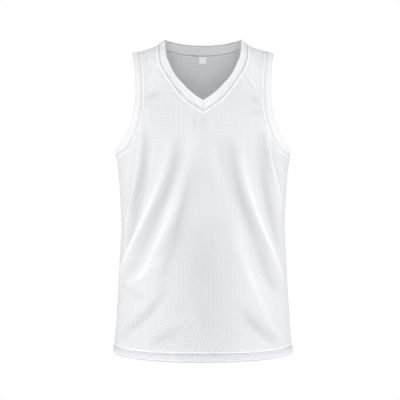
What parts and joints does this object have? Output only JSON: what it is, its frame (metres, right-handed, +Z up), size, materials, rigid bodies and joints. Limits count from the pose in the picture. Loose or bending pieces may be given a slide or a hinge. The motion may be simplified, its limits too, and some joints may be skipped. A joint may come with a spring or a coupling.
{
  "type": "basketball jersey",
  "caption": "Sleeveless V-neck basketball jersey, filled out as worn: knit front and back panels with a mitred neckband, armhole bands, turned-up hem and a small neck label.",
  "frame": {"origin": "midway between the two points where the shoulder seams meet the neck opening, where the wearer's shoulders carry the jersey", "axes": "+Z up the garment, -Y out of its front, +X towards the wearer's left"},
  "size_m": [0.432, 0.2548, 0.7456],
  "materials": {
    "mesh_knit": "matt white polyester eyelet mesh knit",
    "band_knit": "matt white smooth folded knit",
    "label_weave": "satin white woven tape, blank"
  },
  "bodies": {
    "root": {"front_panel": "mesh_knit", "back_panel": "mesh_knit", "neckband": "band_knit", "armband_left": "band_knit", "armband_right": "band_knit", "hem_band": "mesh_knit", "neck_label": "label_weave"}
  },
  "joints": []
}
